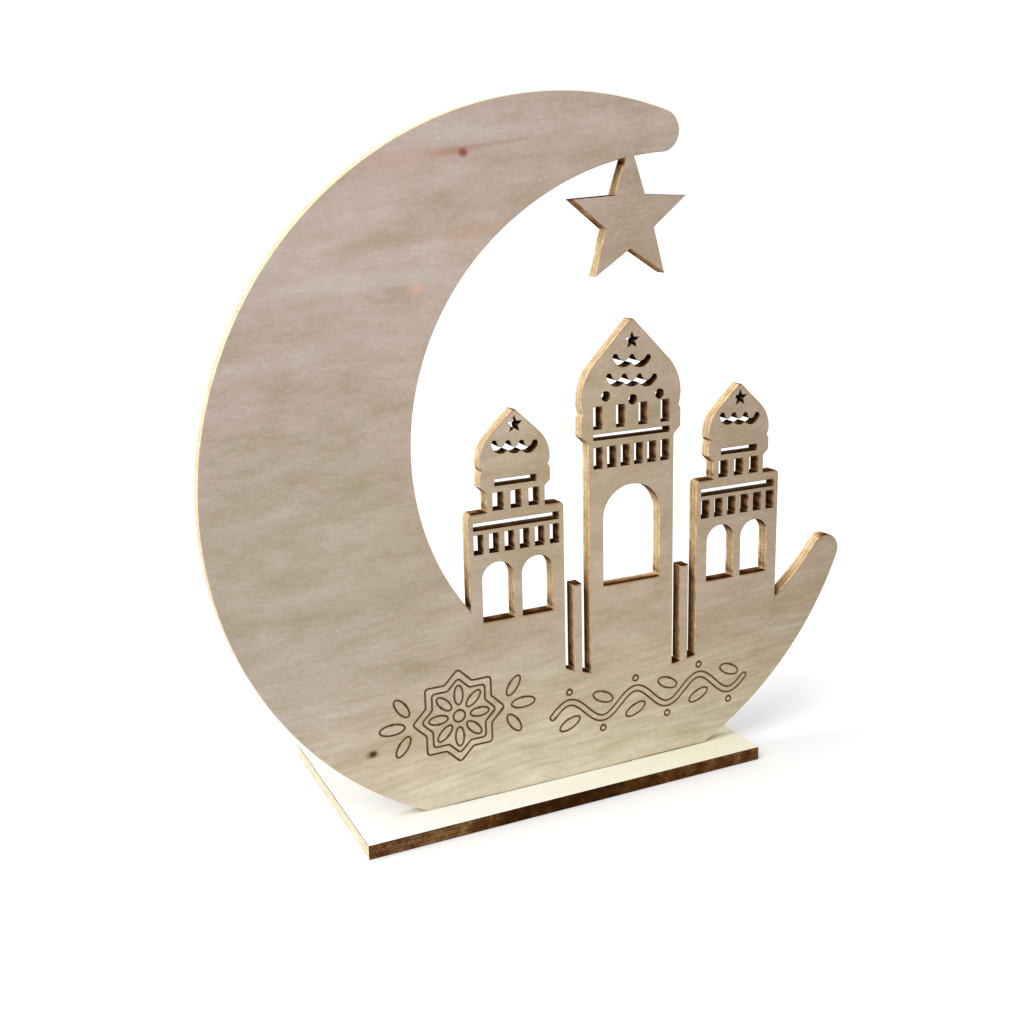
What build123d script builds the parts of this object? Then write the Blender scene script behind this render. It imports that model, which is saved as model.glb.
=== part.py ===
from build123d import *
from math import acos, atan2, cos, degrees, hypot, radians, sin, sqrt
import os

# Festive crescent ornament: one upright panel of three-ply wood, its tab pushed into a slotted base plate.
# Millimetres. The origin is the middle of the base's underside, +X right, +Y away from the viewer, +Z up.

# Three-ply sheet: a thicker core between two face veneers
face_ply = 0.9
core_ply = 1.2
sheet = face_ply + core_ply + face_ply

# Base plate
base_width = 93.0
base_depth = 50.0
front_ledge = 7.65  # base that shows in front of the panel

# Tab on the panel's foot, and its slot in the base plate
tab_width = 32.8
tab_x = 1.2  # middle of the tab, right of the base's middle
tab_recess = 0.2  # end of the tab, up from the base's underside
slot_clearance = 0.1  # on each side of the tab

# Crescent: a disc less a smaller round sky that touches its rim at the mouth
moon_radius = 75.0
moon_x = 2.9  # middle of the disc, right of the base's middle
foot_drop = 67.0  # middle of the disc, down to the flat foot
moon_waist = 42.6  # broadest part of the crescent
mouth_angle = 21.2  # degrees above +X at which the crescent opens
brow_angle = 135.0  # bearing from the sky's middle where the upper horn's flatter underside begins
brow_radius = 61.0
upper_horn_radius = 4.05
lower_horn_radius = 3.7

# Five-pointed star that hangs by its top point from the upper horn
star_x = 14.65  # right of the disc's middle
star_radius = 13.6
star_waist_radius = 5.8
star_hanger = 14.65  # top point, longer than the others
star_bite = 2.75  # top point inside the horn

# Shared by the towers
collar_notch = 0.5  # depth of the nick between collar and dome
notch_rise = 0.9  # height over which the collar's edge slopes into the nick
apex_round = 0.8
row_margin = 1.15  # wall beside the outer slots of a row
slot_width = 2.05
garland_lean = -5.0  # degrees, lower to the right
garland_width = 1.2
garland_sag = 1.4
garland_tip_height = 0.5  # blunt tips above the scallops' ends
small_star_radius = 1.65
small_star_waist_radius = 0.75

# Gate tower in the middle, heights from the top of its body
gate_x = 15.0  # right of the disc's middle
gate_top = 6.1  # above the disc's middle
gate_width = 20.4
gate_collar_height = 6.3
gate_dome_width = 23.7
gate_dome_height = 19.0
gate_belly = 2.6  # widest part of the dome, above the collar
gate_shoulder_radius = 10.6
gate_arch_width = 13.8
gate_arch_height = 21.4
gate_arch_sill = -30.9
gate_row_count = 6
gate_row_height = 4.4
gate_row_sill = -5.3
gate_bar_height = 1.2
gate_bar_sill = 0.7
gate_collar_row_count = 4
gate_collar_row_height = 4.6
gate_collar_row_sill = 3.0
gate_hole_radius = 1.0
gate_hole_count = 3
gate_hole_pitch = 6.4
gate_hole_rise = 0.9  # outer holes above the middle one
gate_hole_height = 2.1  # middle hole above the collar
gate_hole_shift = 0.2  # row of holes, right of the tower's middle
gate_hole_lean = -3.0  # degrees, lower to the right
gate_lower_garland_scallops = 3
gate_lower_garland_pitch = 3.6
gate_lower_garland_height = 6.85  # line of the scallops' ends above the collar
gate_upper_garland_scallops = 2
gate_upper_garland_pitch = 3.9
gate_upper_garland_height = 10.85
gate_star_height = 14.3

# Two like turrets beside it, heights from the top of their block
turret_top = -5.0  # above the disc's middle
turret_width = 21.4
turret_corner_radius = 1.0
turret_neck_width = 13.0
turret_neck_height = 3.8
turret_collar_height = 4.6
turret_dome_width = 15.6
turret_dome_height = 12.1
turret_belly = 1.6
turret_shoulder_radius = 7.2
turret_arch_width = 7.0
turret_arch_height = 12.4
turret_arch_pitch = 8.9
turret_arch_sill = -23.0
turret_row_count = 6
turret_row_height = 4.0
turret_row_sill = -8.5
turret_bar_height = 1.5
turret_bar_sill = -3.5
turret_neck_margin = 1.35  # wall beside the outer slots of the neck
turret_neck_row_count = 3
turret_neck_slot_width = 2.3
turret_neck_row_height = 3.6
turret_neck_row_sill = 0.2
turret_collar_bar_width = 9.2
turret_collar_bar_height = 1.3
turret_collar_bar_sill = 1.4  # above the collar's underside
turret_garland_scallops = 3
turret_garland_pitch = 3.0
turret_garland_height = 5.0  # line of the scallops' ends above the collar
turret_star_height = 8.8

# Slim posts between the towers, each in the middle of its gap
post_width = 2.0
post_slit = 2.0  # open on either side of a post
post_top = -23.4  # above the disc's middle

# Places that follow from the sizes above
base_top = sheet
moon_z = base_top + foot_drop
panel_front = -base_depth / 2 + front_ledge
sky_shift = moon_waist / 2
sky_radius = moon_radius - sky_shift
sky_x = sky_shift * cos(radians(mouth_angle))
sky_z = sky_shift * sin(radians(mouth_angle))
brow_x = sky_x + (sky_radius - brow_radius) * cos(radians(brow_angle))
brow_z = sky_z + (sky_radius - brow_radius) * sin(radians(brow_angle))
post_step = gate_width / 2 + post_slit + post_width / 2
tower_step = post_step + post_width / 2 + post_slit + turret_width / 2

STANDING = (Align.CENTER, Align.MIN)
HANGING = (Align.CENTER, Align.MAX)


def horn(radius, side, hollow_middle, hollow_radius):
    """Round end of the crescent, touching rim and hollow: its middle, and its bearings from both."""
    shift = hypot(*hollow_middle)
    reach = moon_radius**2 + shift**2 - hollow_radius**2 - 2 * radius * (moon_radius + hollow_radius)
    spread = acos(reach / (2 * shift * (moon_radius - radius)))
    bearing = atan2(hollow_middle[1], hollow_middle[0]) + side * spread
    x = (moon_radius - radius) * cos(bearing)
    z = (moon_radius - radius) * sin(bearing)
    return (x, z), degrees(bearing), degrees(atan2(z - hollow_middle[1], x - hollow_middle[0]))


def crescent():
    """Moon between the rim and the sky, with full-round horns."""
    sky = (sky_x, sky_z)
    brow = (brow_x, brow_z)
    upper, upper_rim, upper_brow = horn(upper_horn_radius, 1, brow, brow_radius)
    lower, lower_rim, lower_sky = horn(lower_horn_radius, -1, sky, sky_radius)
    return make_face(
        [
            CenterArc((0, 0), moon_radius, upper_rim, 360 + lower_rim - upper_rim),
            CenterArc(lower, lower_horn_radius, lower_rim, 180 + lower_sky - lower_rim),
            CenterArc(sky, sky_radius, brow_angle, 360 + lower_sky - brow_angle),
            CenterArc(brow, brow_radius, upper_brow, brow_angle - upper_brow),
            CenterArc(upper, upper_horn_radius, upper_brow + 180, 180 + upper_rim - upper_brow),
        ]
    )


def star(top_radius, tip_radius, waist_radius):
    """Upright five-pointed star about the origin, its top point with a reach of its own."""
    corners = []
    for point in range(5):
        turn = radians(90 + 72 * point)
        valley = turn + radians(36)
        reach = tip_radius if point else top_radius
        corners.append((reach * cos(turn), reach * sin(turn)))
        corners.append((waist_radius * cos(valley), waist_radius * sin(valley)))
    return Polygon(*corners, align=None)


def crown(neck_width, collar_height, dome_width, dome_height, belly, shoulder):
    """Collar flared out over its neck, and a pointed dome, with the collar's underside at zero."""
    half = dome_width / 2
    flare = half - neck_width / 2
    nick = (half - collar_notch, collar_height)
    widest = (half, collar_height + belly)
    apex = (0, collar_height + dome_height)
    pivot = (half - shoulder, widest[1])
    rise = apex[1] - pivot[1]
    lean = degrees(atan2(rise, -pivot[0]) - acos(shoulder / hypot(pivot[0], rise)))
    underside = Line((0, 0), (neck_width / 2, 0))
    slope = Line((neck_width / 2, 0), (half, flare))
    wall = Line((half, flare), (half, collar_height - notch_rise))
    collar_edge = Line(wall @ 1, nick)
    dome_foot = TangentArc(widest, nick, tangent=(0, -1))
    dome_shoulder = CenterArc(pivot, shoulder, 0, lean)
    dome_side = Line(dome_shoulder @ 1, apex)
    right = [underside, slope, wall, collar_edge, dome_foot, dome_shoulder, dome_side]
    outline = make_face(right + [mirror(edge, about=Plane.YZ) for edge in right])
    return fillet(outline.vertices().sort_by(Axis.Y)[-1], apex_round)


def shaft(width):
    """Tower wall that runs from zero down past the disc."""
    return Rectangle(width, 2 * moon_radius, align=HANGING)


def arch(width, height):
    """Round-headed opening that stands on its sill at zero."""
    spring = height - width / 2
    return Rectangle(width, spring, align=STANDING) + Pos(0, spring) * Circle(width / 2)


def slot_row(count, row_width, width, height):
    """Upright slots spread over a row, standing on zero."""
    pitch = (row_width - width) / (count - 1)
    slot = Rectangle(width, height, align=STANDING)
    return [place * slot for place in GridLocations(pitch, 1, count, 1)]


def bar(width, height):
    """Level slot, standing on zero."""
    return [Rectangle(width, height, align=STANDING)]


def garland(scallops, pitch):
    """Chain of hanging scallops with blunt tips between them, their ends at zero."""
    band = garland_width / 2
    half = pitch / 2
    trough = garland_sag + band
    bow = ((half + band) ** 2 + trough**2) / (2 * trough)
    cusp = bow - trough - sqrt(bow**2 - half**2)
    edges = []
    for tip in range(scallops + 1):
        x = (tip - scallops / 2) * pitch
        left, right = (x - band, 0), (x + band, 0)
        blunt = [(x - band / 2, garland_tip_height), (x + band / 2, garland_tip_height)]
        edges += Polyline(left, *blunt, right).edges()
        if tip < scallops:
            middle = x + half
            start = (x, cusp) if tip > 0 else left
            end = (x + pitch, cusp) if tip < scallops - 1 else (x + pitch + band, 0)
            edges.append(ThreePointArc(right, (middle, band - garland_sag), (x + pitch - band, 0)))
            edges.append(ThreePointArc(start, (middle, -trough), end))
    return [make_face(edges)]


def small_star():
    """Star pierced near the top of a dome."""
    return star(small_star_radius, small_star_radius, small_star_waist_radius)


def raised(height, shapes, lean=0):
    """Shapes moved up, and leaned about their own middle."""
    return [Pos(0, height) * Rot(0, 0, lean) * shape for shape in shapes]


def gate_tower():
    """Middle tower with one tall arch under a broad dome."""
    collar = gate_collar_height
    row_width = gate_width - 2 * row_margin
    holes = []
    for step in range(gate_hole_count):
        side = step - (gate_hole_count - 1) / 2
        x = gate_hole_shift + side * gate_hole_pitch
        holes.append(Pos(x, abs(side) * gate_hole_rise) * Circle(gate_hole_radius))
    lower_garland = garland(gate_lower_garland_scallops, gate_lower_garland_pitch)
    upper_garland = garland(gate_upper_garland_scallops, gate_upper_garland_pitch)
    outline = shaft(gate_width) + crown(
        gate_width, collar, gate_dome_width, gate_dome_height, gate_belly, gate_shoulder_radius
    )
    cuts = raised(gate_arch_sill, [arch(gate_arch_width, gate_arch_height)])
    cuts += raised(gate_row_sill, slot_row(gate_row_count, row_width, slot_width, gate_row_height))
    cuts += raised(gate_bar_sill, bar(row_width, gate_bar_height))
    collar_row = slot_row(gate_collar_row_count, row_width, slot_width, gate_collar_row_height)
    cuts += raised(gate_collar_row_sill, collar_row)
    cuts += raised(collar + gate_hole_height, holes, gate_hole_lean)
    cuts += raised(collar + gate_lower_garland_height, lower_garland, garland_lean)
    cuts += raised(collar + gate_upper_garland_height, upper_garland, garland_lean)
    cuts += raised(collar + gate_star_height, [small_star()])
    return outline, cuts


def turret():
    """Side tower: a block with two arches, a narrow neck and a small dome."""
    row_width = turret_width - 2 * row_margin
    neck_row_width = turret_neck_width - 2 * turret_neck_margin
    collar_foot = turret_neck_height
    collar = collar_foot + turret_collar_height
    block = shaft(turret_width)
    block = fillet(block.vertices().group_by(Axis.Y)[-1], turret_corner_radius)
    neck = Rectangle(turret_neck_width, turret_neck_height, align=STANDING)
    head = crown(
        turret_neck_width,
        turret_collar_height,
        turret_dome_width,
        turret_dome_height,
        turret_belly,
        turret_shoulder_radius,
    )
    outline = block + neck + Pos(0, collar_foot) * head
    doorway = arch(turret_arch_width, turret_arch_height)
    cuts = raised(turret_arch_sill, [place * doorway for place in GridLocations(turret_arch_pitch, 1, 2, 1)])
    cuts += raised(turret_row_sill, slot_row(turret_row_count, row_width, slot_width, turret_row_height))
    cuts += raised(turret_bar_sill, bar(row_width, turret_bar_height))
    neck_row = slot_row(
        turret_neck_row_count, neck_row_width, turret_neck_slot_width, turret_neck_row_height
    )
    cuts += raised(turret_neck_row_sill, neck_row)
    collar_bar = bar(turret_collar_bar_width, turret_collar_bar_height)
    cuts += raised(collar_foot + turret_collar_bar_sill, collar_bar)
    scallops = garland(turret_garland_scallops, turret_garland_pitch)
    cuts += raised(collar + turret_garland_height, scallops, garland_lean)
    cuts += raised(collar + turret_star_height, [small_star()])
    return outline, cuts


def panel_drawing():
    """Whole cut outline of the panel, drawn about the disc's middle."""
    outlines = []
    cuts = []
    towers = [(gate_tower(), 0, gate_top)]
    for side in (-1, 1):
        towers.append((turret(), side * tower_step, turret_top))
        outlines.append(Pos(gate_x + side * post_step, post_top) * shaft(post_width))
    for (outline, openings), step, top in towers:
        place = Pos(gate_x + step, top)
        outlines.append(place * outline)
        cuts += [place * opening for opening in openings]
    walls = (outlines[0] + outlines[1:]) & Circle(moon_radius)
    underside = brow_z + sqrt(brow_radius**2 - (star_x - brow_x) ** 2)
    star_z = underside + star_bite - star_hanger
    big_star = Pos(star_x, star_z) * star(star_hanger, star_radius, star_waist_radius)
    above_foot = Pos(0, -foot_drop) * Rectangle(2 * moon_radius, 2 * moon_radius, align=STANDING)
    tab_length = sheet - tab_recess
    tab = Pos(tab_x - moon_x, -foot_drop) * Rectangle(tab_width, tab_length, align=HANGING)
    whole = ((crescent() + walls + big_star) & above_foot) + tab
    return whole - cuts


def base_drawing():
    """Base plate with its slot, seen from above."""
    slot = Rectangle(tab_width + 2 * slot_clearance, sheet + 2 * slot_clearance)
    return Rectangle(base_width, base_depth) - Pos(tab_x, panel_front + sheet / 2) * slot


def write(name, part):
    """One solid to its own file."""
    (solid,) = part.solids()
    export_step(solid, f"parts/{name}.step")
    print(f"{name}: {solid.volume:.1f} mm3, {len(solid.faces())} faces")


os.makedirs("parts", exist_ok=True)

# Upright panel, its three plies from the front to the back
drawing = panel_drawing()
depth = panel_front
for ply, thickness in (("front", face_ply), ("core", core_ply), ("back", face_ply)):
    depth += thickness
    plane = Plane((moon_x, depth, moon_z), x_dir=(1, 0, 0), z_dir=(0, -1, 0))
    write(f"panel_{ply}_veneer", extrude(plane * drawing, thickness))

# Base plate, its three plies from the underside up
drawing = base_drawing()
height = 0
for ply, thickness in (("bottom", face_ply), ("core", core_ply), ("top", face_ply)):
    write(f"base_{ply}_veneer", extrude(Plane.XY.offset(height) * drawing, thickness))
    height += thickness
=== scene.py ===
from collections import namedtuple
from math import atan2, ceil, cos, exp, pi, radians, sin, tau

import bpy
from mathutils import Matrix, Vector
from mathutils.bvhtree import BVHTree
from mathutils.geometry import delaunay_2d_cdt


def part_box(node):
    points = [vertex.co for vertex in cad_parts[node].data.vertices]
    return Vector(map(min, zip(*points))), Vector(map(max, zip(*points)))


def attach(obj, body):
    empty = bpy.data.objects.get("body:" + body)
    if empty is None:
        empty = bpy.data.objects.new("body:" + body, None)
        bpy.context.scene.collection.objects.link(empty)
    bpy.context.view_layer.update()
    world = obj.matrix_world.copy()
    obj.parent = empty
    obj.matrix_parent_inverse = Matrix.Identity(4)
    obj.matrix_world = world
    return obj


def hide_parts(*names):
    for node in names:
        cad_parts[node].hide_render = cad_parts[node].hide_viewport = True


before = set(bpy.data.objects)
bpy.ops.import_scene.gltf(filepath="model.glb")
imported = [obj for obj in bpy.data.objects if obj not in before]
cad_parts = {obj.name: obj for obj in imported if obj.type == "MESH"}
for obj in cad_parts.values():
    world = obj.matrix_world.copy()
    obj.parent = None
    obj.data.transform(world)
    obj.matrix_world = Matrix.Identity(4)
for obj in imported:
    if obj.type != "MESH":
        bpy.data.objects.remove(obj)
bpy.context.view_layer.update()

mm = 0.001

# Base plate: a rectangle of three-ply wood with one laser-cut slot for the panel's tab.
# Two pale face veneers are glued to a core, and the laser has burnt the front edge brown to black.
# It lies loose on the table, and the panel is pushed into it from above.

arris = 0.1 * mm  # burnt corner between a shown face and a cut wall
glue_line = 0.14 * mm  # browned strip of wall beside a glued joint
glue_burn = 0.26
outline_step = 1.0 * mm  # longest straight stretch along a cut
facet_turn = radians(12)  # sharper turns than this are real corners
facet_likeness = 0.6  # facets of one arc are at least this share as long as each other
flat_normal = 0.99  # least share of a face's normal along the axis it faces
sharpest_corner = 0.3  # keeps offsets from running out at sharp corners
smoke_and_shade_reach = 9.0 * mm  # a wall this near to the one opposite holds smoke, and on the panel painted shade as well
smoke_and_shade_fan = [radians(turn) for turn in (-50, -25, 0, 25, 50)]  # of the rays that look for that wall
ray_start = 0.02 * mm  # rays start this far off a wall, so that they don't hit it
pinch_reach = 1.6 * mm  # a corner this tight is charred
narrow_cut = 5.0 * mm  # narrower openings leave no haze on the face


def neighbours(loop):
    """Each member of a closed loop with the one after it."""
    return zip(loop, loop[1:] + loop[:1])


def double_area(loop):
    """Twice the area within a closed loop of points, below zero where they run clockwise."""
    return sum(start.cross(end) for start, end in neighbours(loop))


def refined(outline):
    """Same outline with facets bowed back into arcs and long stretches divided."""
    count = len(outline)
    runs = [end - start for start, end in neighbours(outline)]
    turns = [atan2(runs[i - 1].cross(runs[i]), runs[i - 1].dot(runs[i])) for i in range(count)]
    points = []
    for i, run in enumerate(runs):
        after = (i + 1) % count
        bends = []
        for corner, neighbour in ((i, i - 1), (after, after)):
            if abs(turns[corner]) < facet_turn and runs[neighbour].length > facet_likeness * run.length:
                bends.append(turns[corner])
        # an arc rises above its chord by an eighth of the chord's length times the turn
        bow = min(bends, key=abs) * run.length / 8 if bends else 0
        side = Vector((run.y, -run.x)).normalized()
        pieces = ceil(run.length / outline_step)
        for piece in range(pieces):
            share = piece / pieces
            points.append(outline[i] + run * share + side * (4 * bow * share * (1 - share)))
    return points


def cut_outlines(node, axis, side):
    """Closed outlines of a flat CAD ply, wood on their left, from its face on that side of the axis."""
    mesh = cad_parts[node].data
    plane = [k for k in range(3) if k != axis]
    grid = 0.00001 * mm
    edges = set()
    for polygon in mesh.polygons:
        if polygon.normal[axis] * side > flat_normal:
            corners = [mesh.vertices[i].co for i in polygon.vertices]
            keys = [tuple(round(corner[k] / grid) for k in plane) for corner in corners]
            for edge in neighbours(keys):
                if edge[::-1] in edges:
                    edges.remove(edge[::-1])
                else:
                    edges.add(edge)
    following = dict(edges)
    outlines = []
    while following:
        point = min(following)
        outline = []
        while point in following:
            outline.append(Vector(point) * grid)
            point = following.pop(point)
        outlines.append(refined(outline))
    return outlines


def inward(outline):
    """Way into the wood at each point of an outline, longer at corners so that offsets stay parallel."""
    ways = []
    for before, point, after in zip(outline[-1:] + outline[:-1], outline, outline[1:] + outline[:1]):
        first, second = (Vector((-run.y, run.x)).normalized() for run in (point - before, after - point))
        ways.append((first + second) / max(1 + first.dot(second), sharpest_corner))
    return ways


def closeness(outlines, inwards):
    """How closed in and how pinched each point of the cuts is, 0 in the open and 1 in a slot or a corner,
    and how far the wood behind it reaches."""
    points = []
    walls = []
    for outline in outlines:
        start = len(points)
        count = 2 * len(outline)
        points += [Vector((point.x, point.y, side * mm)) for point in outline for side in (-1, 1)]
        for i in range(0, count, 2):
            j = (i + 2) % count
            walls.append([start + k for k in (i, j, j + 1, i + 1)])
    tree = BVHTree.FromPolygons(points, walls)

    def free_way(point, way):
        """Distance to the next wall, or the reach of smoke and painted shade where that is less."""
        *_, distance = tree.ray_cast((point + way * ray_start).to_3d(), way.to_3d(), smoke_and_shade_reach)
        return smoke_and_shade_reach if distance is None else distance

    found = []
    for outline, ways in zip(outlines, inwards):
        found.append([])
        for point, way in zip(outline, ways):
            rays = [Matrix.Rotation(turn, 2) @ -way.normalized() for turn in smoke_and_shade_fan]
            free = [free_way(point, ray) for ray in rays]
            closed = 1 - sum(free) / smoke_and_shade_reach / len(free)
            pinched = max(0, 1 - min(free) / pinch_reach)
            found[-1].append((closed, pinched, free_way(point, way)))
    return found


on_face, on_wall = 0, 1  # places in a ply's list of finishes
crease = radians(30)  # a mesh is shaded smooth across blunter edges
every_triangle = 0  # the kind of answer asked of the triangulation
cap_tolerance = 1e-7  # millimetres


class Blank:
    """Mesh of one ply while it is cut: its points, and its faces with their finish and how burnt they are."""

    def __init__(self, axis):
        self.axis = axis
        self.points = []
        self.faces = []
        self.finishes = []
        self.burns = []

    def ring(self, loop, level):
        """Adds the points of a loop at that level, and gives their numbers."""
        start = len(self.points)
        for point in loop:
            place = list(point)
            place.insert(self.axis, level)
            self.points.append(place)
        return list(range(start, len(self.points)))

    def face(self, corners, finish, burns):
        self.faces.append(corners)
        self.finishes.append(finish)
        self.burns += burns

    def band(self, finish, first, first_burns, second, second_burns):
        """Strip of faces from one ring to another of as many points, with how burnt it is along both."""
        for i in range(len(first)):
            j = (i + 1) % len(first)
            corners = [first[i], first[j], second[j], second[i]]
            self.face(corners, finish, [first_burns[i], first_burns[j], second_burns[j], second_burns[i]])

    def cap(self, rings, turned):
        """Flat face between rings, with the odd ones of nested rings filled."""
        plane = [k for k in range(3) if k != self.axis]
        joined = [i for ring in rings for i in ring]
        places = [Vector([self.points[i][k] / mm for k in plane]) for i in joined]
        loops = []
        start = 0
        for ring in rings:
            loop = list(range(start, start + len(ring)))
            start += len(ring)
            area = double_area([places[i] for i in loop])
            loops.append(loop if area > 0 else loop[::-1])
        found = delaunay_2d_cdt(places, [], loops, every_triangle, cap_tolerance)
        _, _, triangles, sources, _, owners = found
        for triangle, around in zip(triangles, owners):
            if len(around) % 2:
                corners = [joined[sources[i][0]] for i in triangle]
                self.face(corners[::-1] if turned else corners, on_face, [0, 0, 0])

    def piece(self, name, body, node, slot, finishes):
        """Object made from the blank, which stands for the CAD node and rides on its body."""
        mesh = bpy.data.meshes.new(name)
        mesh.from_pydata(self.points, [], self.faces)
        mesh.polygons.foreach_set("material_index", self.finishes)
        mesh.polygons.foreach_set("use_smooth", [True] * len(self.faces))
        mesh.attributes.new("burn", "FLOAT", "CORNER").data.foreach_set("value", self.burns)
        mesh.set_sharp_from_angle(angle=crease)
        for finish in finishes:
            mesh.materials.append(finish)
        made = bpy.data.objects.new(name, mesh)
        bpy.context.scene.collection.objects.link(made)
        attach(made, body)
        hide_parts(node)


Spot = namedtuple("Spot", "place facing closed pinched wood window level")  # of a point on a cut wall


def cut_ply(node, axis, side, shown, arris_burn, wall_burn, face_haze=None, engrave=None):
    """Blank of one veneer, from the face on that side of the axis to the one opposite. Shown faces
    have burnt arrises, glued ones a brown line on the wall beside them. The first face may have smoke
    haze beside its cuts, and scored lines."""
    low, high = (corner[axis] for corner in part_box(node))
    near, far = (low, high) if side < 0 else (high, low)
    margins = [arris if seen else glue_line for seen in shown]
    levels = [near, near - side * margins[0], far + side * margins[1], far]
    insets = [arris if shown[0] else 0, 0, 0, arris if shown[1] else 0]
    extra = [arris_burn if shown[0] else glue_burn, 0, arris_burn if shown[1] else glue_burn]
    outlines = cut_outlines(node, axis, side)
    inwards = [inward(outline) for outline in outlines]
    blank = Blank(axis)
    near_rings = []
    far_rings = []
    # smoke: how closed in each point is; it sets the face's smoke haze and, on the panel's walls, char
    # together with painted shade
    for outline, ways, smoke in zip(outlines, inwards, closeness(outlines, inwards)):
        rings = []
        for level, inset in zip(levels, insets):
            rings.append(blank.ring([point + way * inset for point, way in zip(outline, ways)], level))
        near_rings.append(rings[0])
        far_rings.append(rings[-1])
        window = (0, 0)  # width and height of an opening, none for the outer cut
        if double_area(outline) < 0:
            window = [max(places) - min(places) for places in zip(*outline)]
        if face_haze and not 0 < min(window) < narrow_cut:
            rims = []
            depths = []
            for point, way, state in zip(outline, ways, smoke):
                reach, depth = face_haze(Spot(point, -way.normalized(), *state, window, near))
                rims.append(point + way * (arris + reach))
                depths.append(depth)
            near_rings[-1] = blank.ring(rims, near)
            blank.band(on_face, rings[0], depths, near_rings[-1], [0] * len(outline))
        for strip, more in enumerate(extra):
            for i, point in enumerate(outline):
                j = (i + 1) % len(outline)
                run = outline[j] - point
                facing = Vector((run.y, -run.x)).normalized()
                corners = []
                burns = []
                for k, row in ((i, strip), (i, strip + 1), (j, strip + 1), (j, strip)):
                    burn = wall_burn(Spot(outline[k], facing, *smoke[k], window, levels[row]))
                    corners.append(rings[row][k])
                    burns.append(min(1, burn + more * (1 - burn)))
                blank.face(corners, on_wall, burns)
    if engrave:
        near_rings += engrave(blank, near)
    blank.cap(near_rings, False)
    blank.cap(far_rings, True)
    return blank


class Shade:
    """One socket of a material's nodes. Arithmetic on it adds Math nodes."""

    def __init__(self, tree, socket=None):
        self.tree = tree
        self.socket = socket

    def node(self, kind, settings, inputs, output=0):
        """Adds any node: its settings first, then the values or links of its sockets."""
        made = self.tree.nodes.new(kind)
        for name, value in settings.items():
            if name == "stops":
                while len(made.color_ramp.elements) < len(value):
                    made.color_ramp.elements.new(1)
                for element, (position, colour) in zip(made.color_ramp.elements, value):
                    element.position = position
                    element.color = (*colour, 1)
            else:
                setattr(made, name, value)
        for name, value in inputs.items():
            if isinstance(value, Shade):
                self.tree.links.new(value.socket, made.inputs[name])
            else:
                made.inputs[name].default_value = value
        return Shade(self.tree, made.outputs[output])

    def other(self, output):
        """Another output of the same node."""
        return Shade(self.tree, self.socket.node.outputs[output])

    def math(self, operation, a, b=0.0):
        return self.node("ShaderNodeMath", {"operation": operation}, {0: a, 1: b})

    def __add__(self, value):
        return self.math("ADD", self, value)

    __radd__ = __add__

    def __sub__(self, value):
        return self.math("SUBTRACT", self, value)

    def __rsub__(self, value):
        return self.math("SUBTRACT", value, self)

    def __mul__(self, value):
        return self.math("MULTIPLY", self, value)

    __rmul__ = __mul__

    def __truediv__(self, value):
        return self.math("DIVIDE", self, value)

    def __rtruediv__(self, value):
        return self.math("DIVIDE", value, self)

    def smooth(self, low, high):
        """0 below low, 1 above high and a soft step between."""
        edges = {"Value": self, "From Min": low, "From Max": high}
        return self.node("ShaderNodeMapRange", {"interpolation_type": "SMOOTHSTEP"}, edges)

    def mix(self, first, second, way="MIX"):
        """Colour that goes from first to second, or to the two blended, as this value goes from 0 to 1."""
        ends = [end if isinstance(end, Shade) else (*end, 1) for end in (first, second)]
        settings = {"data_type": "RGBA", "blend_type": way}
        # a Mix node's colours are its sockets 6 and 7, and their mix is its output 2
        return self.node("ShaderNodeMix", settings, {0: self, 6: ends[0], 7: ends[1]}, 2)

    def grain(self, place, pitch, detail=2.0):
        """Noise from 0 to 1 at a place, with its own pitch along each of the three ways."""
        vector = {axis: value / step for axis, value, step in zip("XYZ", place, pitch)}
        spot = self.node("ShaderNodeCombineXYZ", {}, vector)
        return self.node("ShaderNodeTexNoise", {}, {"Vector": spot, "Scale": 1.0, "Detail": detail})

    def into(self, socket):
        self.tree.links.new(self.socket, socket)


grain_rise = 0.07
wander_pitch = (34, 15, 1000)  # pitches are along the grain, across it and into the wood, in millimetres
wander_swing = 5.0
band_pitch = (55, 6, 90)
band_share = 0.4  # of the bands in the colour, with clouds for the rest
cloud_pitch = (9, 3.6, 30)
streak_pitch = (13, 1.1, 9)
streak_range = (0.5, 0.85)  # noise below the first number leaves no trace, above the second a full one
streak_tint = (0.9, 0.87, 0.83)
streak_strength = 0.35
fibre_pitch = (1.1, 0.6, 2)
fibre_range = (0.35, 0.7)
fibre_tint = (0.9, 0.89, 0.88)
fleck_pitch = (1.6, 0.5, 2)
fleck_range = (0.58, 0.76)
fleck_tint = (0.1, 0.1, 0.095)
haze_range = (0.0, 0.5)  # burns first turn a face tan, then brown
haze_tint = (0.98, 0.8, 0.66)
scorch_range = (0.3, 1.0)
scorch_tone = (0.2, 0.115, 0.05)
ragged_swing = 1.6
smallest_ragged = 0.9  # patches and marks with a shorter half length have clean edges
face_roughness = 0.6
fibre_roughness = 0.2
fibre_height = 0.7
streak_height = 0.25
face_relief = 0.03 * mm
face_relief_strength = 0.25
face_gloss = 0.25


def start_finish(name):
    """New material: its nodes, its shader, the place on the part in millimetres and how burnt it is."""
    made = bpy.data.materials.new(name)
    made.use_nodes = True
    nodes = Shade(made.node_tree)
    place = nodes.node("ShaderNodeTexCoord", {}, {}, "Object")
    x = nodes.node("ShaderNodeSeparateXYZ", {}, {"Vector": place}, "X")
    spot = [way / mm for way in (x, x.other("Y"), x.other("Z"))]
    burn = nodes.node("ShaderNodeAttribute", {"attribute_name": "burn"}, {}, "Fac")
    return made, made.node_tree.nodes["Principled BSDF"], nodes, spot, burn


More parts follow.
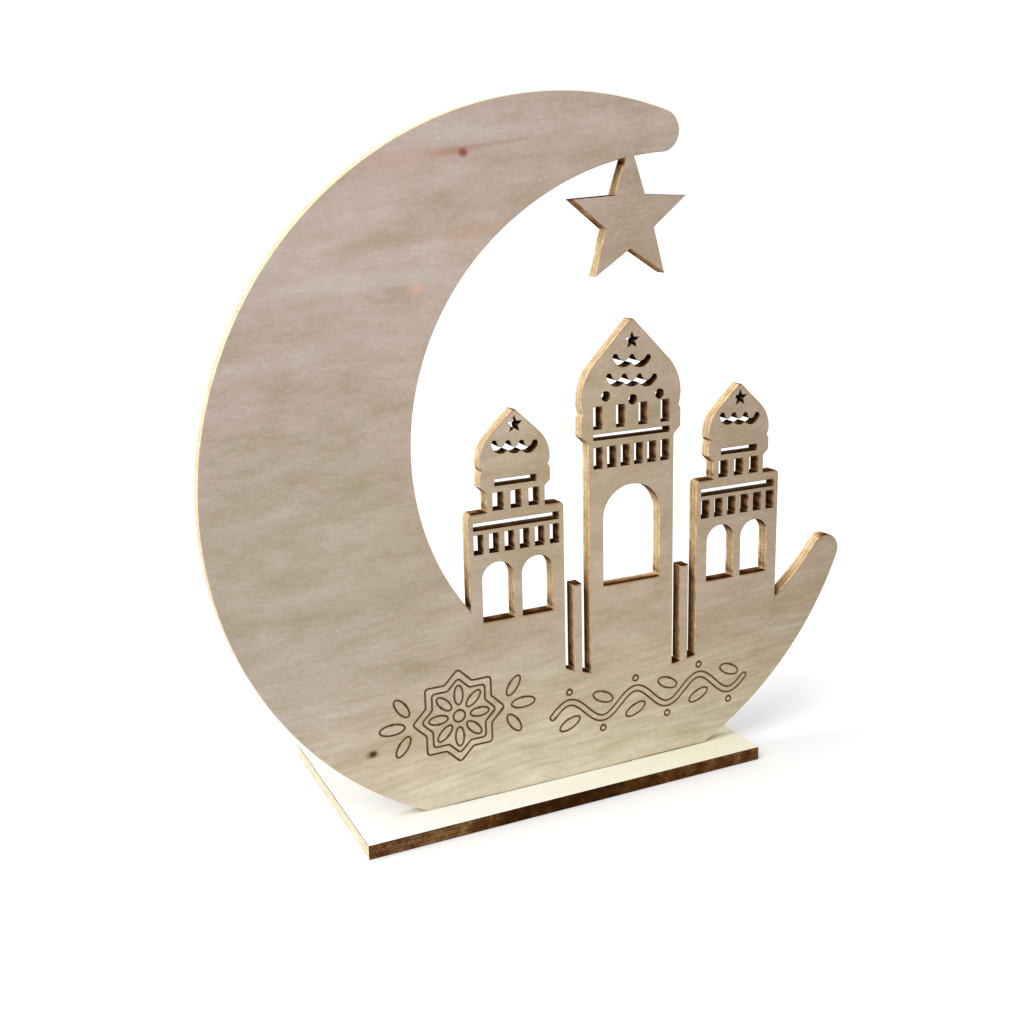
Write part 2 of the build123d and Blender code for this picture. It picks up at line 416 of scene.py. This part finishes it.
def face_wood(name, across, seed, tones, contrast, patches=(), marks=()):
    """Bare face veneer, with its grain along X: cloudy bands of the tones, streaks, fibres and pale flecks.
    Broad soft patches tint it, some of them painted light and shade, and firm marks such as knots lie
    over it, one of them a painted shadow. Each of these has its middle, half length, half height, rise,
    strength and colour."""
    made, shader, nodes, spot, burn = start_finish(name)
    along = spot[0] + seed
    rising = spot[across] - along * grain_rise
    wander = nodes.grain((along, rising, spot[0]), wander_pitch, detail=1.0)
    in_wood = (along, rising + wander * wander_swing, spot[3 - across])
    band = nodes.grain(in_wood, band_pitch)
    cloud = nodes.grain(in_wood, cloud_pitch, detail=5.0)
    streak = nodes.grain(in_wood, streak_pitch, detail=3.0)
    fibre = nodes.grain(in_wood, fibre_pitch)
    fleck = nodes.grain(in_wood, fleck_pitch, detail=1.0)
    ragged = (streak - 0.5) * ragged_swing

    def nearness(x, y, half_length, half_height, rise, firm):
        """1 in the middle of a patch or a mark, and 0 well outside it."""
        beside = (spot[0] - x) / half_length
        above = (spot[across] - (spot[0] - x) * rise - y) / half_height
        if half_length > smallest_ragged:
            above = above + ragged
        away = beside * beside + above * above
        return nodes.math("EXPONENT", (away * away if firm else away) * -1.0)

    mottle = band * band_share + cloud * (1 - band_share)
    colour = nodes.node("ShaderNodeValToRGB", {"stops": tones}, {"Fac": mottle})
    for *place, strength, tint in patches:
        colour = (nearness(*place, False) * strength).mix(colour, tint, "MULTIPLY")
    streaked = streak.smooth(*streak_range) * (contrast * streak_strength)
    colour = streaked.mix(colour, streak_tint, "MULTIPLY")
    colour = (fibre.smooth(*fibre_range) * contrast).mix(colour, fibre_tint, "MULTIPLY")
    colour = (fleck.smooth(*fleck_range) * contrast).mix(colour, fleck_tint, "SCREEN")
    for *place, strength, tone in marks:
        colour = (nearness(*place, True) * strength).mix(colour, tone)
    colour = burn.smooth(*haze_range).mix(colour, haze_tint, "MULTIPLY")
    colour = burn.smooth(*scorch_range).mix(colour, scorch_tone)
    colour.into(shader.inputs["Base Color"])
    (face_roughness + fibre * fibre_roughness).into(shader.inputs["Roughness"])
    height = fibre * fibre_height + streak * streak_height
    bump = {"Height": height, "Distance": face_relief, "Strength": face_relief_strength}
    nodes.node("ShaderNodeBump", {}, bump).into(shader.inputs["Normal"])
    shader.inputs["Specular IOR Level"].default_value = face_gloss
    return made


soot_pitch = (2.4, 2.4, 2.4)
soot_swing = 0.45
scar_pitch = (0.35, 1.2, 0.35)
scar_swing = 0.4
browned_share = (0.7, 0.59, 0.48)  # of the clean wood's red, green and blue, where it is browned
burnt_brown = (0.3, 0.172, 0.082)
char_brown = (0.106, 0.043, 0.013)
char_black = (0.033, 0.013, 0.0035)
wall_roughness = 0.85
char_smoothness = 0.2
wall_relief = 0.05 * mm
wall_relief_strength = 0.6


def cut_wall(name, clean, shift):
    """Laser-cut wall: clean wood that browns and chars where it is burnt, with fine marks along the beam.
    On the panel its burn value also holds painted shade, in closed-in cuts and on undersides.
    """
    made, shader, nodes, spot, burn = start_finish(name)
    x, y, z = spot
    soot = nodes.grain((x + shift, y, z), soot_pitch)
    scar = nodes.grain((x, y + shift, z), scar_pitch)
    level = burn + (soot - 0.5) * soot_swing + (scar - 0.5) * scar_swing
    browned = [share * tone for share, tone in zip(browned_share, clean)]
    stops = [(0.0, clean), (0.3, browned), (0.55, burnt_brown), (0.8, char_brown), (1.0, char_black)]
    colour = nodes.node("ShaderNodeValToRGB", {"stops": stops}, {"Fac": level})
    colour.into(shader.inputs["Base Color"])
    (wall_roughness - level * char_smoothness).into(shader.inputs["Roughness"])
    bump = {"Height": scar + soot, "Distance": wall_relief, "Strength": wall_relief_strength}
    nodes.node("ShaderNodeBump", {}, bump).into(shader.inputs["Normal"])
    shader.inputs["Specular IOR Level"].default_value = 0
    return made


plate_half_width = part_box("base_top_veneer")[1].x
plate_arris_burn = 0.8
plate_slot_burn = 0.7
plate_back_burn = 0.6
plate_side_burn = 0.08
plate_front_burn = 0.82
plate_front_changes = [(-0.05, 0.4, 0.22), (-0.65, 0.2, -0.14)]  # place, reach (half widths), burn


def plate_burn(spot):
    """Front edge charred, most at its middle, slot and back brown, the sides nearly clean."""
    if spot.window[0]:
        return plate_slot_burn
    if spot.facing.y < -abs(spot.facing.x):
        along = spot.place.x / plate_half_width
        burn = plate_front_burn
        for place, reach, change in plate_front_changes:
            burn += change * exp(-(((along - place) / reach) ** 2))
        return burn
    return plate_back_burn if spot.facing.y > abs(spot.facing.x) else plate_side_burn


plate_tones = [(0.35, (0.785, 0.765, 0.61)), (0.65, (0.765, 0.73, 0.565))]
plate_contrast = 0.15
# painted light: the left part of the plate's top is made paler, as if it were lit more brightly
painted_left_light = (1.1, 1.16, 1.48)
plate_patches = [(-60, -20, 60, 60, 0, 0.9, painted_left_light)]
plate_edge_tone = (0.84, 0.77, 0.61)
plate_face = face_wood(
    "plate face veneer", across=1, seed=310, tones=plate_tones, contrast=plate_contrast, patches=plate_patches
)
plate_wall = cut_wall("plate cut edge", plate_edge_tone, shift=70)
plate_plies = [("top", True, False), ("core", False, False), ("bottom", False, True)]
for ply, *shown in plate_plies:
    node = f"base_{ply}_veneer"
    slot = "core_veneer" if ply == "core" else "face_veneer"
    blank = cut_ply(node, axis=2, side=1, shown=shown, arris_burn=plate_arris_burn, wall_burn=plate_burn)
    blank.piece(f"plate_{ply}_ply", "base", node, slot, [plate_face, plate_wall])

# Panel, core and back veneers: one outline, cut by laser through the glued sheet.
# The walls are golden in the open, brown on level cuts, charred in narrow slots; painted shade darkens slots
# and undersides.
# The panel stands with its tab in the base plate's slot.

moon_middle = Vector((2.9, 70.0)) * mm
rim_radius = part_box("panel_core_veneer")[1].z - moon_middle.y
rim_inside = 0.97 * rim_radius  # cuts nearer to the moon's middle aren't its outer rim
panel_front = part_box("panel_front_veneer")[0].y
panel_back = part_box("panel_back_veneer")[1].y
least_burn = 0.04
closed_burn_and_shade = 0.2  # more, at the front of a wall that is closed in, and 1 more than that at its back: char and painted shade
inner_burn = 0.08  # more, on all walls but the outer rim
inner_front_burn = 0.17  # more again, at their fronts
pinched_burn = 0.75
level_facing = 0.85  # walls that face up more than this are level tops
small_cut = 8.0 * mm  # the sills of wider openings hold no smoke
smoked_closed = 0.6  # other level tops are charred all over when they are as closed in as this
smoked_burn = 0.05
lip_burn = 1.05
lip_start = 0.1  # shares of the panel's thickness, from where and over which a level top turns paler
lip_depth = 0.5
lip_fade = 0.65
under_facing = 0.25  # walls that face down more than this are undersides, which get painted shade
# painted shade on undersides, more where they are closed in
under_painted_shade = 1.1
closed_under_painted_shade = 1.2
under_front = 0.4  # share of an open underside's painted shade at its front
panel_arris_burn = 0.12


def panel_burn_and_shade(spot):
    """Closed-in walls such as slots are charred and painted with shade, most at their backs; undersides get
    painted shade, open ones most at their backs; level tops are burnt along their front lips.
    """
    depth = (spot.level - panel_front) / (panel_back - panel_front)
    # char and painted shade where the wall is closed in, more towards its back
    burn = least_burn + spot.closed * (closed_burn_and_shade + depth)
    if (spot.place - moon_middle).length < rim_inside:
        pierced = spot.window[0] > 0
        front = inner_front_burn * (1 - depth) * (1 if pierced else 1 - spot.closed)
        burn += inner_burn + front + pinched_burn * spot.pinched
        top = max(0, spot.facing.y - level_facing) / (1 - level_facing)
        smoked = 0 if spot.window[0] > small_cut else min(1, spot.closed / smoked_closed)
        fade = min(1, max(0, depth - lip_start) / lip_depth) * (1 - smoked)
        lip = lip_burn + smoked_burn * smoked - lip_fade * fade
        burn += top * (lip - burn)
        # painted shade on walls that face down
        under = max(0, -under_facing - spot.facing.y)
        if not pierced:
            under *= under_front + (1 - under_front) * depth
        burn += (under_painted_shade + closed_under_painted_shade * spot.closed) * under
    return burn


panel_tones = [
    (0.36, (0.55, 0.45, 0.397)),
    (0.47, (0.507, 0.405, 0.351)),
    (0.56, (0.475, 0.38, 0.312)),
    (0.68, (0.416, 0.332, 0.243)),
]
panel_contrast = 0.7
back_edge_tone = (0.88, 0.79, 0.59)
core_edge_tone = (0.8, 0.655, 0.425)
back_face = face_wood("panel back veneer", across=2, seed=120, tones=panel_tones, contrast=panel_contrast)
back_wall = cut_wall("panel back edge", back_edge_tone, shift=20)
core_wall = cut_wall("panel core edge", core_edge_tone, shift=40)
for ply, shown, wall in (("core", (False, False), core_wall), ("back", (False, True), back_wall)):
    node = f"panel_{ply}_veneer"
    slot = "core_veneer" if ply == "core" else "face_veneer"
    blank = cut_ply(node, axis=1, side=-1, shown=shown, arris_burn=panel_arris_burn, wall_burn=panel_burn_and_shade)
    blank.piece(f"panel_{ply}_ply", "panel", node, slot, [back_face, wall])

# Panel, front veneer: the same outline, with a burnt line ornament scored into its lower part.
# An eight-pointed star with petals stands between two sprigs, and a vine with leaves runs beside it.
# The lines are shallow grooves that the laser drew in one pass, with a faint tan haze along them.

line_width = 0.44 * mm
line_depth = 0.2 * mm
line_haze = 0.19 * mm  # how far the haze reaches beside a line
pierce_swell = 0.5  # share by which a line is wider where the laser started
pierce_reach = 0.35 * mm
corner_round = 0.75 * mm
corner_steps = 6
paths = []


def ellipse(middle, half_length, half_width, turn, steps=36):
    """Leaf or petal outline, with its long axis turned from +X, started at the middle of one side."""
    spin = Matrix.Rotation(radians(turn), 2)
    angles = [tau * step / steps + pi / 2 for step in range(steps)]
    reaches = [Vector((half_length * cos(angle), half_width * sin(angle))) for angle in angles]
    paths.append([middle + spin @ reach for reach in reaches])


def star(middle, tip, points=8):
    """Outline of a star of two squares, with its corners rounded."""
    valley = tip * cos(pi / 4) / cos(pi / points)
    corners = []
    for step in range(2 * points):
        reach = valley if step % 2 else tip
        turn = pi * step / points
        corners.append(middle + reach * Vector((cos(turn), sin(turn))))
    path = []
    for before, corner, after in zip(corners[-1:] + corners[:-1], corners, corners[1:] + corners[:1]):
        first, second = (corner - before).normalized(), (after - corner).normalized()
        turn = atan2(first.cross(second), first.dot(second))
        side = Vector((-first.y, first.x)) * (corner_round if turn > 0 else -corner_round)
        pivot = corner - first * corner_round * abs(sin(turn) / (1 + cos(turn))) + side
        for step in range(corner_steps + 1):
            path.append(pivot + Matrix.Rotation(turn * step / corner_steps, 2) @ -side)
    paths.append(path)


def round_end(pivot, arm, steps=8):
    """Half circle between the two sides of a stem's end, without its end points."""
    return [pivot + Matrix.Rotation(pi * step / steps, 2) @ arm for step in range(1, steps)]


def vine(start, length, waves, swing, half_width, step=0.4 * mm):
    """Outline of a waving stem with round ends."""
    def stem(x):
        return Vector((x, swing * sin(tau * waves * x / length)))

    def across(x):
        return Vector((-tau * waves / length * swing * cos(tau * waves * x / length), 1)).normalized()

    count = round(length / step)
    xs = [length * i / count for i in range(count + 1)]
    path = [start + stem(x) - across(x) * half_width for x in xs]
    path += round_end(start + stem(length), across(length) * -half_width)
    path += [start + stem(x) + across(x) * half_width for x in xs[::-1]]
    path += round_end(start + stem(0), across(0) * half_width)
    paths.append(path)


rosette = moon_middle + Vector((-26.0, -47.3)) * mm
rosette_tips = (10.3 * mm, 8.3 * mm)
rosette_eye = 1.3 * mm
rosette_petals = 8
petal_reach = 4.6 * mm
petal_half = (2.1 * mm, 0.95 * mm)  # half length and half width, as for the leaves
sprig_reach = 14.6 * mm
sprig_half = (2.7 * mm, 1.15 * mm)
side_leaf_reach = 12.4 * mm
side_leaf_rise = 4.2 * mm
side_leaf_half = (2.4 * mm, 1.05 * mm)
side_leaf_turn = 55
for tip in rosette_tips:
    star(rosette, tip)
ellipse(rosette, rosette_eye, rosette_eye, 0, steps=20)
for petal in range(rosette_petals):
    turn = 360 * petal / rosette_petals
    reach = Matrix.Rotation(radians(turn), 2) @ Vector((petal_reach, 0))
    ellipse(rosette + reach, *petal_half, turn)
for side in (-1, 1):
    ellipse(rosette + Vector((side * sprig_reach, 0)), *sprig_half, 0)
    for rise in (-1, 1):
        place = rosette + Vector((side * side_leaf_reach, rise * side_leaf_rise))
        ellipse(place, *side_leaf_half, side * rise * side_leaf_turn)

vine_start = moon_middle + Vector((-4.5, -52.4)) * mm
vine_length = 49.0 * mm
vine_waves = 3
vine_swing = 2.6 * mm
vine_half_width = 0.65 * mm
vine_leaf_reach = 2.3 * mm
vine_leaf_half = (2.6 * mm, 1.15 * mm)
vine_leaf_turn = 24
berry_reach = 5.0 * mm
berry_radius = 0.65 * mm
vine(vine_start, vine_length, vine_waves, vine_swing, vine_half_width)
for half_wave in range(2 * vine_waves):
    side = 1 if half_wave % 2 == 0 else -1
    middle = vine_start + Vector((vine_length * (half_wave + 0.5) / (2 * vine_waves), 0))
    ellipse(middle - Vector((0, side * vine_leaf_reach)), *vine_leaf_half, side * vine_leaf_turn)
    ellipse(middle + Vector((0, side * berry_reach)), berry_radius, berry_radius, 0, steps=16)

in_line = 2  # place of the burnt line in the front ply's list of finishes
line_haze_burn = 0.4
line_lip_burn = 0.5


def engrave(blank, level):
    """Scores every path into the front face. Gives the rings at which the face stops beside the lines."""
    rings = []
    for path in paths:
        gone = 0
        halves = []
        for i, point in enumerate(path):
            gone += (point - path[i - 1]).length if i else 0
            swell = 1 + pierce_swell * exp(-((gone / pierce_reach) ** 2))
            halves.append(swell * line_width / 2)
        points = list(zip(path, inward(path), halves))
        clean, hazed, brown, charred = ([burn] * len(path) for burn in (0, line_haze_burn, line_lip_burn, 1))
        bottom = blank.ring(path, level + line_depth)
        for side in (-1, 1):
            lip = blank.ring([point + way * side * half for point, way, half in points], level)
            rim = blank.ring([point + way * side * (half + line_haze) for point, way, half in points], level)
            rings.append(rim)
            if side < 0:
                blank.band(on_face, rim, clean, lip, hazed)
                blank.band(in_line, lip, brown, bottom, charred)
            else:
                blank.band(on_face, lip, hazed, rim, clean)
                blank.band(in_line, bottom, charred, lip, brown)
    return rings


line_soot_pitch = (1.5, 1.5, 1.5)
line_soot_swing = 0.6
line_range = (0.4, 1.1)
line_lip_tone = (0.2, 0.13, 0.06)
line_floor_tone = (0.07, 0.045, 0.02)
line_roughness = 0.9
line_smoothness = 0.15
line_gloss = 0.15


def burnt_line(name):
    """Groove of a scored line: brown at its lips, darkest along the middle."""
    made, shader, nodes, spot, burn = start_finish(name)
    soot = nodes.grain(spot, line_soot_pitch)
    level = burn + (soot - 0.5) * line_soot_swing
    colour = level.smooth(*line_range).mix(line_lip_tone, line_floor_tone)
    colour.into(shader.inputs["Base Color"])
    (line_roughness - soot * line_smoothness).into(shader.inputs["Roughness"])
    shader.inputs["Specular IOR Level"].default_value = line_gloss
    return made


haze_reach = 0.6 * mm  # smoke haze below the towers' level tops and sills
least_haze_reach = 0.05 * mm
haze_wood_share = 0.3  # of the wood that haze may cover
haze_burn = 0.9
haze_falloff = 1.5  # power by which haze fades as a cut turns away from facing up
towers_left = -24.0 * mm
towers_top = 105.0 * mm


def front_haze(spot):
    """Reach and depth of the smoke haze on the face, which lies beside the towers' cuts that face up."""
    beside = spot.place.x < towers_left or spot.place.y > towers_top
    if beside or (spot.place - moon_middle).length > rim_inside:
        up = 0
    else:
        up = max(0, spot.facing.y) ** haze_falloff
    return min(max(least_haze_reach, up * haze_reach), haze_wood_share * spot.wood), haze_burn * up


# patches and marks: middle x and z, half length and half height in millimetres, rise, strength, colour
# painted shade: the front's right side is darker, as light falling off away from the lamp on the left
painted_right_shade = (0.76, 0.75, 0.62)
tower_gold = (1.06, 1.05, 0.88)
# painted shade: the face around the star is darker, as the light falls off to the right
painted_star_shade = (0.885, 0.85, 0.8)
low_tan = (0.88, 0.905, 0.795)
score_gold = (0.975, 0.985, 0.88)
# painted light: the lower part of the front is paler, as if lit by light reflected from the pale base plate
painted_foot_light = (1.43, 1.58, 1.38)
shoulder_pale = (1.09, 1.09, 1.12)
row_tan = (0.93, 0.87, 0.8)
far_row_tan = (0.91, 0.865, 0.74)
# painted reflection: a brighter strip at the panel's foot, as light reflected from the base plate
painted_foot_reflection = (1.16, 1.18, 1.25)
gate_pale = (1.1, 1.075, 1.03)
corner_gold = (0.955, 0.93, 0.87)
right_brown = (0.95, 0.925, 0.92)
tip_tan = (0.92, 0.91, 0.85)
# some of these patches are painted light and shade: the darker right side and star, and the paler foot
front_patches = [
    (75, 60, 60, 120, 0, 0.9, painted_right_shade),
    (2, 80, 27, 34, 0, 0.8, tower_gold),
    (17.5, 118, 16, 18, 0, 0.9, painted_star_shade),
    (-50, 58, 70, 28, 0.05, 0.9, low_tan),
    (16, 26, 45, 15, 0, 0.9, score_gold),
    (-10, 2, 110, 21, 0, 0.9, painted_foot_light),
    (-47, 125, 20, 16, 0, 0.9, shoulder_pale),
    (-9, 64, 13, 11, 0, 0.8, row_tan),
    (17.9, 77, 14, 9, 0, 0.9, row_tan),
    (44.8, 66, 13, 13, 0, 0.9, far_row_tan),
    (5, 2, 60, 6, 0, 0.9, painted_foot_reflection),
    (18, 50, 22, 12, 0, 0.8, gate_pale),
    (-34, 16, 20, 10, 0, 0.9, corner_gold),
    (47, 18, 11, 11, 0, 0.8, right_brown),
    (71, 50, 10, 14, 0, 0.8, tip_tan),
]
knot_red = (0.24, 0.06, 0.035)
lens_red = (0.42, 0.25, 0.185)
wash_pink = (0.5, 0.335, 0.265)
line_brown = (0.37, 0.275, 0.215)
band_tan = (0.4, 0.32, 0.22)
patch_orange = (0.47, 0.325, 0.235)
spot_orange = (0.74, 0.38, 0.26)
smear_brown = (0.37, 0.295, 0.22)
pin_brown = (0.057, 0.022, 0.001)
pin_shade = (0.13, 0.085, 0.045)
tail_brown = (0.44, 0.345, 0.235)
# painted shadow: dark lines along the panel's foot either side of the tab, as of a gap under the foot
painted_foot_gap_shadow = (0.1, 0.065, 0.035)
front_marks = [
    (-29.5, 133.5, 11, 1.6, 0.06, 0.5, wash_pink),
    (-11, 135.7, 8, 0.4, 0.11, 0.5, line_brown),
    (-19.6, 134.5, 5.2, 0.75, 0.11, 0.8, lens_red),
    (-18, 134.15, 0.95, 0.75, 0, 0.9, knot_red),
    (-34, 118.7, 13, 1.3, 0.13, 0.5, band_tan),
    (-15.8, 119.8, 7.5, 1.5, 0.06, 0.55, patch_orange),
    (-32.2, 109.8, 3.2, 0.9, 0, 0.6, smear_brown),
    (-28.6, 109.6, 1.5, 1.0, 0.3, 0.3, spot_orange),
    (-28.1, 109.8, 0.6, 0.75, 0, 0.55, spot_orange),
    (-46.5, 17.6, 5.5, 0.9, 0.1, 0.4, tail_brown),
    (-42.2, 18.4, 1.35, 0.9, 0, 0.6, pin_shade),
    (-42, 18.45, 0.8, 0.65, 0, 1, pin_brown),
    # painted shadow along the foot, either side of the tab
    (-21.6, 3.1, 6.7, 0.2, 0, 0.9, painted_foot_gap_shadow),
    (27.9, 3.1, 10.2, 0.27, 0, 0.9, painted_foot_gap_shadow),
]
front_edge_tone = (0.84, 0.71, 0.505)
front_grain = {"across": 2, "seed": 0, "tones": panel_tones, "contrast": panel_contrast}
front_face = face_wood("panel front veneer", **front_grain, patches=front_patches, marks=front_marks)
front_wall = cut_wall("panel front edge", front_edge_tone, shift=0)
front_node = "panel_front_veneer"
front_shown = (True, False)
front = cut_ply(front_node, 1, -1, front_shown, panel_arris_burn, panel_burn_and_shade, front_haze, engrave)
front_finishes = [front_face, front_wall, burnt_line("burnt line")]
front.piece("panel_front_ply", "panel", front_node, "face_veneer", front_finishes)

# Stage: a plain pale floor and a white surround, with the soft light of a bright studio.
# A broad lamp high on the left makes the level faces and the left walls the brightest.

floor_half = 3.0  # metres
floor_drop = 0.05 * mm
floor_tone = (0.84, 0.84, 0.84, 1)
floor_roughness = 0.9
floor_ways = [(-1, -1), (1, -1), (1, 1), (-1, 1)]
floor_corners = [(x * floor_half, y * floor_half, -floor_drop) for x, y in floor_ways]
floor_mesh = bpy.data.meshes.new("floor")
floor_mesh.from_pydata(floor_corners, [], [(0, 1, 2, 3)])
floor = bpy.data.objects.new("floor", floor_mesh)
bpy.context.scene.collection.objects.link(floor)
floor_finish, floor_shader, *_ = start_finish("pale floor")
floor_shader.inputs["Base Color"].default_value = floor_tone
floor_shader.inputs["Roughness"].default_value = floor_roughness
floor_mesh.materials.append(floor_finish)

surround_light = 0.45
world = bpy.data.worlds.new("studio")
bpy.context.scene.world = world
world.use_nodes = True
sky = Shade(world.node_tree)
rays = sky.node("ShaderNodeLightPath", {}, {}, "Is Camera Ray")
seen = rays
for kind in ("Is Glossy Ray", "Is Transmission Ray"):
    seen = sky.math("MAXIMUM", seen, rays.other(kind))
(surround_light + seen * (1 - surround_light)).into(world.node_tree.nodes["Background"].inputs["Strength"])
world.node_tree.nodes["Background"].inputs["Color"].default_value = (1, 1, 1, 1)

lamp_way = Vector((-0.55, -0.12, 0.83))
lamp_energy = 3.7
lamp_spread = radians(60)
lamp_data = bpy.data.lights.new("broad lamp", "SUN")
lamp_data.energy = lamp_energy
lamp_data.angle = lamp_spread
lamp = bpy.data.objects.new("broad lamp", lamp_data)
lamp.rotation_euler = lamp_way.to_track_quat("Z", "Y").to_euler()
bpy.context.scene.collection.objects.link(lamp)

# Camera: at the photograph's place, to the left of the ornament, level with its star and close to it.
# It is turned to the right, tipped down and leaned by the angles below, in degrees.

camera_place = Vector((-110.9, -235.64, 130.12)) * mm
camera_yaw = 24.488
camera_pitch = 14.968
camera_roll = 1.591
camera_lens = 44.19  # millimetres, as is the sensor's width
camera_sensor = 36
camera_nearest = 10 * mm
camera_data = bpy.data.cameras.new("camera")
camera_data.sensor_fit = "HORIZONTAL"
camera_data.sensor_width = camera_sensor
camera_data.lens = camera_lens
camera_data.clip_start = camera_nearest
camera = bpy.data.objects.new("camera", camera_data)
heading = Matrix.Rotation(radians(-camera_yaw), 4, "Z")
tilt = Matrix.Rotation(radians(90 - camera_pitch), 4, "X")
lean = Matrix.Rotation(radians(-camera_roll), 4, "Z")
camera.matrix_world = Matrix.Translation(camera_place) @ heading @ tilt @ lean
bpy.context.scene.collection.objects.link(camera)
bpy.context.scene.camera = camera
bpy.context.scene.view_settings.view_transform = "Standard"
